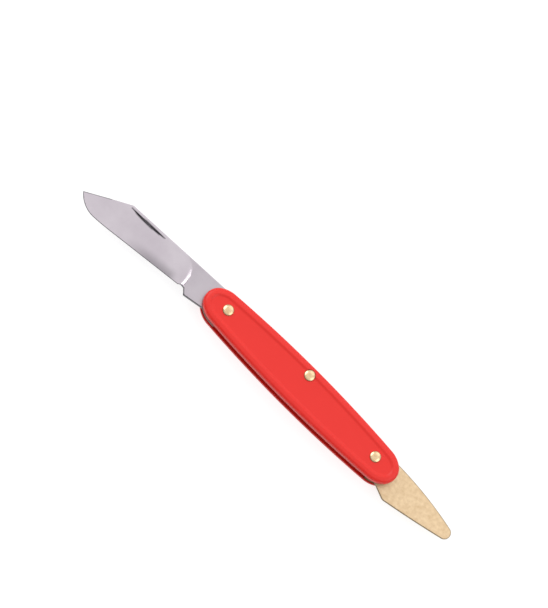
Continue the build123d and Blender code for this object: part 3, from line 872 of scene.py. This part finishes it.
lifter = plate(
    "bark_lifter_leaf", LIFTER_OUTLINE, LIFTER_BRASS,
    top=lambda at, edge: LIFTER_MID + lifter_half_thickness(at, edge),
    bottom=lambda at, edge: LIFTER_MID - lifter_half_thickness(at, edge),
    holes=((*LIFTER_PIN, TOOL_BORE_R),), spacing=1.0,
    painted_shade_and_patina=lambda at, edge: LIFTER_RIM_PATINA_AND_SHADE * soft_step(edge, 0.45, 0.1),
    edge_r=LIFTER_EDGE_R, edge_steps=5,
)
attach(lifter, "lifter")
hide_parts("bark_lifter")
print(lifter.name, len(lifter.data.polygons), "faces")

# %% [markdown]
# ## Liners
# Three brass liners keep the tools apart and give the springs and tangs a smooth wall to slide
# on. They follow the handle's outline a little inside the scales, and their belly edge is cut
# back so that fingers reach the folded tools.

# %% Make the liners
METAL_INSET = 0.4
RELIEF = ((-42.0, -5.9), (0.0, -6.9), (42.0, -5.9))
METAL_LOOP = handle_loop(METAL_INSET)
LINER_EDGE_R = 0.08
relief_arc = arc(*RELIEF, 60) + [RELIEF[2]]
CLEAR_X, CLEAR_Y = 60.0, 12.0  # well outside the handle
liner_trim = ([(-CLEAR_X, -CLEAR_Y), (RELIEF[0][0], -CLEAR_Y)] + relief_arc
              + [(RELIEF[2][0], -CLEAR_Y), (CLEAR_X, -CLEAR_Y), (CLEAR_X, CLEAR_Y),
                 (-CLEAR_X, CLEAR_Y)])
PIN_HOLES = tuple((x, y, BORE_R) for x, y in PINS)


def belly_painted_shade(points, edge_mm):
    """Painted shade that darkens the walls, most of all along the open belly, where shade falls."""
    return soft_step(edge_mm, 0.3, 0.0) * np.where(points[:, 1] < 0, 0.85, 0.2)


def flat_plate(name, node, outline, material, holes, trim):
    """A plate of even thickness in a frame node's layer, with its edges just broken."""
    low, high = layer(node)
    made = plate(
        name, outline, material,
        top=lambda at, edge: high - rounding(edge, LINER_EDGE_R),
        bottom=lambda at, edge: low + rounding(edge, LINER_EDGE_R),
        holes=holes, trim=trim, painted_shade_and_patina=belly_painted_shade, spacing=4.0, edge_r=LINER_EDGE_R, edge_steps=2,
    )
    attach(made, "handle")
    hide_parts(node)
    print(made.name, len(made.data.polygons), "faces")
    return made


for node in ("front_liner", "centre_liner", "rear_liner"):
    flat_plate(node + "_sheet", node, METAL_LOOP, LINER_BRASS, PIN_HOLES, liner_trim)

# %% [markdown]
# ## Back springs
# Each spring is fixed by two rivets, and its free end rests on a tang. It is the handle's
# outline along the back and a drawn line underneath, so it is the liner's loop trimmed by a
# second outline.

# %% Make the springs
SPRING_GAP, SPRING_END_T, SPRING_FACE_T, SPRING_STEP = 0.02, -5.4, 3.1, (6.3, 4.6)
SPRING_BELLY_Y = 3.3


def spring_underside(pin, tool_side, rest):
    """The trimming outline of a spring: its free end and contact face, then the drawn rest."""
    face_s = CAM_FLAT_S + SPRING_GAP
    local = ((SPRING_END_T, face_s), (SPRING_FACE_T, face_s), SPRING_STEP)
    start = [(pin[0] - tool_side * SPRING_END_T, CLEAR_Y)]
    return start + [(pin[0] - tool_side * t, pin[1] + s) for t, s in local] + rest


LUG_R = 4.4
lug = [(LIFTER_PIN[0] + LUG_R * math.cos(t), LIFTER_PIN[1] + LUG_R * math.sin(t))
       for t in (math.pi + math.pi * i / 24 for i in range(25))]
blade_spring_trim = spring_underside(
    BLADE_PIN, -1, [(-21.0, 5.7), (-14.0, SPRING_BELLY_Y), (24.0, SPRING_BELLY_Y)] + lug
    + [(LIFTER_PIN[0] + LUG_R, CLEAR_Y)])
lifter_spring_trim = spring_underside(
    LIFTER_PIN, 1, [(21.5, 5.9), (15.0, SPRING_BELLY_Y), (-26.0, SPRING_BELLY_Y), (-34.0, 0.5),
                    (-38.5, -5.0), (-41.5, -CLEAR_Y), (-60.0, -CLEAR_Y), (-60.0, CLEAR_Y)])
flat_plate("blade_back_spring", "blade_spring", METAL_LOOP, SPRING_STEEL,
                   (PIN_HOLES[1], PIN_HOLES[2]), blade_spring_trim)
flat_plate("lifter_back_spring", "lifter_spring", METAL_LOOP, SPRING_STEEL,
                   (PIN_HOLES[0], PIN_HOLES[1]), lifter_spring_trim)

# %% [markdown]
# ## Rivets and burrs
# Three equal rivets hold the stack together. What repeats is a job for Geometry Nodes: one tree
# models a rivet from named sizes, puts it on each point that it is given, and makes the copies
# real. A head is a sphere squashed to a low dome, with its lower half pressed flat. The tail at
# the back is the same, smaller, and sits on a washer called a burr.

# %% A tree that makes rivets


def new_tree(name, sizes):
    """A geometry tree with a geometry input, the named sizes as inputs, and one output."""
    tree = bpy.data.node_groups.new(name, "GeometryNodeTree")
    tree.interface.new_socket(name="Points", in_out="INPUT", socket_type="NodeSocketGeometry")
    for size in sizes:
        tree.interface.new_socket(name=size, in_out="INPUT", socket_type="NodeSocketFloat")
    tree.interface.new_socket(name="Result", in_out="OUTPUT", socket_type="NodeSocketGeometry")
    return tree, add_node(tree, "NodeGroupInput")


def dome_nodes(tree, radius, height, seat, up):
    """A squashed sphere whose half behind its seat is pressed flat against it."""
    ball = add_node(tree, "GeometryNodeMeshUVSphere", {"Segments": 48, "Rings": 28, "Radius": 1.0})
    position = add_node(tree, "GeometryNodeInputPosition").outputs["Position"]
    at = add_node(tree, "ShaderNodeSeparateXYZ", {"Vector": position}).outputs
    x = add_node(tree, "ShaderNodeMath", {0: at["X"], 1: radius}, operation="MULTIPLY")
    y = add_node(tree, "ShaderNodeMath", {0: at["Y"], 1: radius}, operation="MULTIPLY")
    raised = add_node(tree, "ShaderNodeMath", {0: at["Z"], 1: 0.0}, operation="MAXIMUM")
    tall = add_node(tree, "ShaderNodeMath", {0: raised.outputs[0], 1: height}, operation="MULTIPLY")
    signed = add_node(tree, "ShaderNodeMath", {0: tall.outputs[0], 1: up}, operation="MULTIPLY")
    z = add_node(tree, "ShaderNodeMath", {0: signed.outputs[0], 1: seat}, operation="ADD")
    place = add_node(tree, "ShaderNodeCombineXYZ",
                     {"X": x.outputs[0], "Y": y.outputs[0], "Z": z.outputs[0]})
    return add_node(tree, "GeometryNodeSetPosition",
                    {"Geometry": ball.outputs["Mesh"], "Position": place.outputs["Vector"]}).outputs[0]


def end_tree(tree, shape, points, material):
    """Puts the shape on the points, makes the copies real and gives them their material."""
    copies = add_node(tree, "GeometryNodeInstanceOnPoints", {"Points": points, "Instance": shape})
    real = add_node(tree, "GeometryNodeRealizeInstances", {"Geometry": copies.outputs["Instances"]})
    painted = add_node(tree, "GeometryNodeSetMaterial",
                       {"Geometry": real.outputs["Geometry"], "Material": material})
    add_node(tree, "NodeGroupOutput", {"Result": painted.outputs["Geometry"]})


def rivet_tree():
    tree, given = new_tree("Domed rivets", ("Head radius", "Head height", "Head seat", "Shank radius",
                                            "Tail radius", "Tail height", "Tail seat"))
    sizes = given.outputs
    head = dome_nodes(tree, sizes["Head radius"], sizes["Head height"], sizes["Head seat"], 1.0)
    tail = dome_nodes(tree, sizes["Tail radius"], sizes["Tail height"], sizes["Tail seat"], -1.0)
    seats = {0: sizes["Head seat"], 1: sizes["Tail seat"]}
    length = add_node(tree, "ShaderNodeMath", seats, operation="SUBTRACT")
    both = add_node(tree, "ShaderNodeMath", seats, operation="ADD")
    middle = add_node(tree, "ShaderNodeMath", {0: both.outputs[0], 1: 0.5}, operation="MULTIPLY")
    rod = add_node(tree, "GeometryNodeMeshCylinder",
                   {"Vertices": 48, "Radius": sizes["Shank radius"], "Depth": length.outputs[0]})
    raise_by = add_node(tree, "ShaderNodeCombineXYZ", {"Z": middle.outputs[0]})
    shank = add_node(tree, "GeometryNodeTransform",
                     {"Geometry": rod.outputs["Mesh"], "Translation": raise_by.outputs["Vector"]})
    whole = add_node(tree, "GeometryNodeJoinGeometry")
    for piece in (head, tail, shank.outputs["Geometry"]):
        tree.links.new(piece, whole.inputs["Geometry"])
    smooth = add_node(tree, "GeometryNodeSetShadeSmooth", {"Geometry": whole.outputs["Geometry"]})
    end_tree(tree, smooth.outputs["Geometry"], given.outputs["Points"], RIVET_BRASS)
    return tree


def burr_tree():
    """Washers: a small rounded rectangle carried round a circle."""
    tree, given = new_tree("Burrs", ("Middle radius", "Width", "Thickness", "Height", "Edge rounding"))
    sizes = given.outputs
    ring = add_node(tree, "GeometryNodeCurvePrimitiveCircle",
                    {"Resolution": 64, "Radius": sizes["Middle radius"]})
    section = add_node(tree, "GeometryNodeCurvePrimitiveQuadrilateral",
                       {"Width": sizes["Thickness"], "Height": sizes["Width"]})
    eased = add_node(tree, "GeometryNodeFilletCurve",
                     {"Curve": section.outputs["Curve"], "Radius": sizes["Edge rounding"], "Count": 3},
                     mode="POLY")
    washer = add_node(tree, "GeometryNodeCurveToMesh",
                      {"Curve": ring.outputs["Curve"], "Profile Curve": eased.outputs["Curve"]})
    raise_by = add_node(tree, "ShaderNodeCombineXYZ", {"Z": sizes["Height"]})
    raised = add_node(tree, "GeometryNodeTransform",
                      {"Geometry": washer.outputs["Mesh"], "Translation": raise_by.outputs["Vector"]})
    end_tree(tree, raised.outputs["Geometry"], given.outputs["Points"], RIVET_BRASS)
    return tree


def grow(name, tree, sizes):
    """Runs a tree on the three pins and returns the result as a plain mesh object."""
    pins = bpy.data.meshes.new(name)
    pins.from_pydata([in_place(x, y, 0.0) for x, y in PINS], [], [])
    made = bpy.data.objects.new(name, pins)
    bpy.context.scene.collection.objects.link(made)
    modifier = made.modifiers.new(tree.name, "NODES")
    modifier.node_group = tree
    for item in tree.interface.items_tree:
        if item.name in sizes:
            modifier[item.identifier] = sizes[item.name] * MM
    bake_modifiers(made)
    tidy_mesh(made.data, merge_mm=0.0001)
    return made


# %% Make the rivets and the burrs
HEAD_SEAT = layer("front_scale")[1] - PANEL_DEPTH
HEAD_HEIGHT = layer("spring_rivet")[1] - HEAD_SEAT
BURR_LOW, BURR_HIGH = layer("spring_rivet_burr")
TAIL_HEIGHT = BURR_LOW - layer("spring_rivet")[0]
HEAD_R, SHANK_R, TAIL_R, BURR_EDGE_R = 2.3, 1.25, 1.7, 0.1
rivets = grow("brass_rivets", rivet_tree(), {
    "Head radius": HEAD_R, "Head height": HEAD_HEIGHT, "Head seat": HEAD_SEAT,
    "Shank radius": SHANK_R, "Tail radius": TAIL_R, "Tail height": TAIL_HEIGHT, "Tail seat": BURR_LOW,
})
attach(rivets, "handle")
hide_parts("blade_pivot_rivet", "spring_rivet", "lifter_pivot_rivet")
print(rivets.name, len(rivets.data.polygons), "faces")
burrs = grow("brass_burrs", burr_tree(), {
    "Middle radius": (HEAD_R + BORE_R) / 2, "Width": HEAD_R - BORE_R,
    "Thickness": BURR_HIGH - BURR_LOW, "Height": (BURR_LOW + BURR_HIGH) / 2,
    "Edge rounding": BURR_EDGE_R,
})
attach(burrs, "handle")
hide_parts("blade_pivot_burr", "spring_rivet_burr", "lifter_pivot_burr")
print(burrs.name, len(burrs.data.polygons), "faces")

# %% [markdown]
# ## Floor, light and camera
# A small glossy thing shows best on a light table: a white sheet that glows a little, so that
# hardly any shadow shows. The metals need something wide and even to reflect, so the light
# comes from a bright dome over the table and three large soft boxes. The dome leans towards the
# handle's back and darkens to the horizon, which draws dark edges round the metal. The camera
# looks down on the front scale with a long lens, tipped so that the open belly just shows, and
# rolled so that the knife lies across the picture.

# %% Floor
FLOOR_HALF, FLOOR_GLOW = 3.0, 0.78
floor_mesh = bpy.data.meshes.new("floor")
corners = [(x * FLOOR_HALF, y * FLOOR_HALF, 0) for x, y in ((-1, -1), (1, -1), (1, 1), (-1, 1))]
floor_mesh.from_pydata(corners, [], [(0, 1, 2, 3)])
floor = bpy.data.objects.new("floor", floor_mesh)
bpy.context.scene.collection.objects.link(floor)
paper, paper_tree, _ = start_material("White light table")
finish_material(paper_tree, add_node(paper_tree, "ShaderNodeBsdfPrincipled", {
    "Base Color": srgb("#969696"), "Roughness": 0.9, "Specular IOR Level": 0.1,
    "Emission Color": srgb("#FFFFFF"), "Emission Strength": FLOOR_GLOW}))
floor_mesh.materials.append(paper)

# %% Sky and lights
world = bpy.data.worlds.new("Soft studio")
bpy.context.scene.world = world
world.use_nodes = True
world.node_tree.nodes.clear()
way = add_node(world.node_tree, "ShaderNodeTexCoord").outputs["Generated"]
DOME_LEAN, HORIZON_LIGHT, TOP_LIGHT = math.radians(17), 0.1, 0.97
dome_axis = (0.0, math.sin(DOME_LEAN), math.cos(DOME_LEAN))
height = add_node(world.node_tree, "ShaderNodeVectorMath", {0: way, 1: dome_axis},
                  operation="DOT_PRODUCT")
lift = add_node(world.node_tree, "ShaderNodeMapRange",
                {"Value": height.outputs["Value"], "From Min": -0.05, "From Max": 0.85,
                 "To Min": HORIZON_LIGHT, "To Max": TOP_LIGHT}, interpolation_type="SMOOTHSTEP")
sky = add_node(world.node_tree, "ShaderNodeBackground",
               {"Color": (1.0, 1.0, 1.0, 1.0), "Strength": lift.outputs["Result"]})
add_node(world.node_tree, "ShaderNodeOutputWorld", {"Surface": sky.outputs["Background"]})


def soft_box(name, place, size, watts):
    """A square area light at place, in metres, that faces the middle of the knife."""
    light = bpy.data.lights.new(name, "AREA")
    light.shape, light.size, light.energy = "SQUARE", size, watts
    made = bpy.data.objects.new(name, light)
    made.location = place
    made.rotation_euler = (-Vector(place)).to_track_quat("-Z", "Y").to_euler()
    bpy.context.scene.collection.objects.link(made)


soft_box("key_soft_box", (0.1, 1.15, 1.05), 1.0, 2.0)
soft_box("left_soft_box", (-1.0, 0.15, 0.75), 0.9, 6.0)
soft_box("right_soft_box", (1.0, 0.0, 0.9), 0.9, 3.0)

# %% Camera
VIEW_TILT = math.radians(12.5)
VIEW_ROLL = math.radians(-45.0)
CAMERA_DISTANCE = 1.2
PICTURE_TALL_MM = 232.061
AIM = (-29.07, 14.68)

look = Vector((0.0, math.sin(VIEW_TILT), -math.cos(VIEW_TILT)))
along_x = Vector((1.0, 0.0, 0.0))
along_back = along_x.cross(look)
right = along_x * math.cos(VIEW_ROLL) - along_back * math.sin(VIEW_ROLL)
up = along_x * math.sin(VIEW_ROLL) + along_back * math.cos(VIEW_ROLL)
aim = Vector(in_place(*AIM, layer("front_scale")[1]))
camera_data = bpy.data.cameras.new("camera")
camera = bpy.data.objects.new("camera", camera_data)
bpy.context.scene.collection.objects.link(camera)
turn = Matrix((right, up, -look)).transposed()
camera.matrix_world = Matrix.Translation(aim - look * CAMERA_DISTANCE) @ turn.to_4x4()
camera_data.lens = camera_data.sensor_width * CAMERA_DISTANCE / (PICTURE_TALL_MM * MM)
camera_data.clip_start, camera_data.clip_end = 0.05, 20.0
bpy.context.scene.camera = camera
bpy.context.scene.view_settings.view_transform = "Standard"
print("camera lens", round(camera_data.lens, 1), "mm")
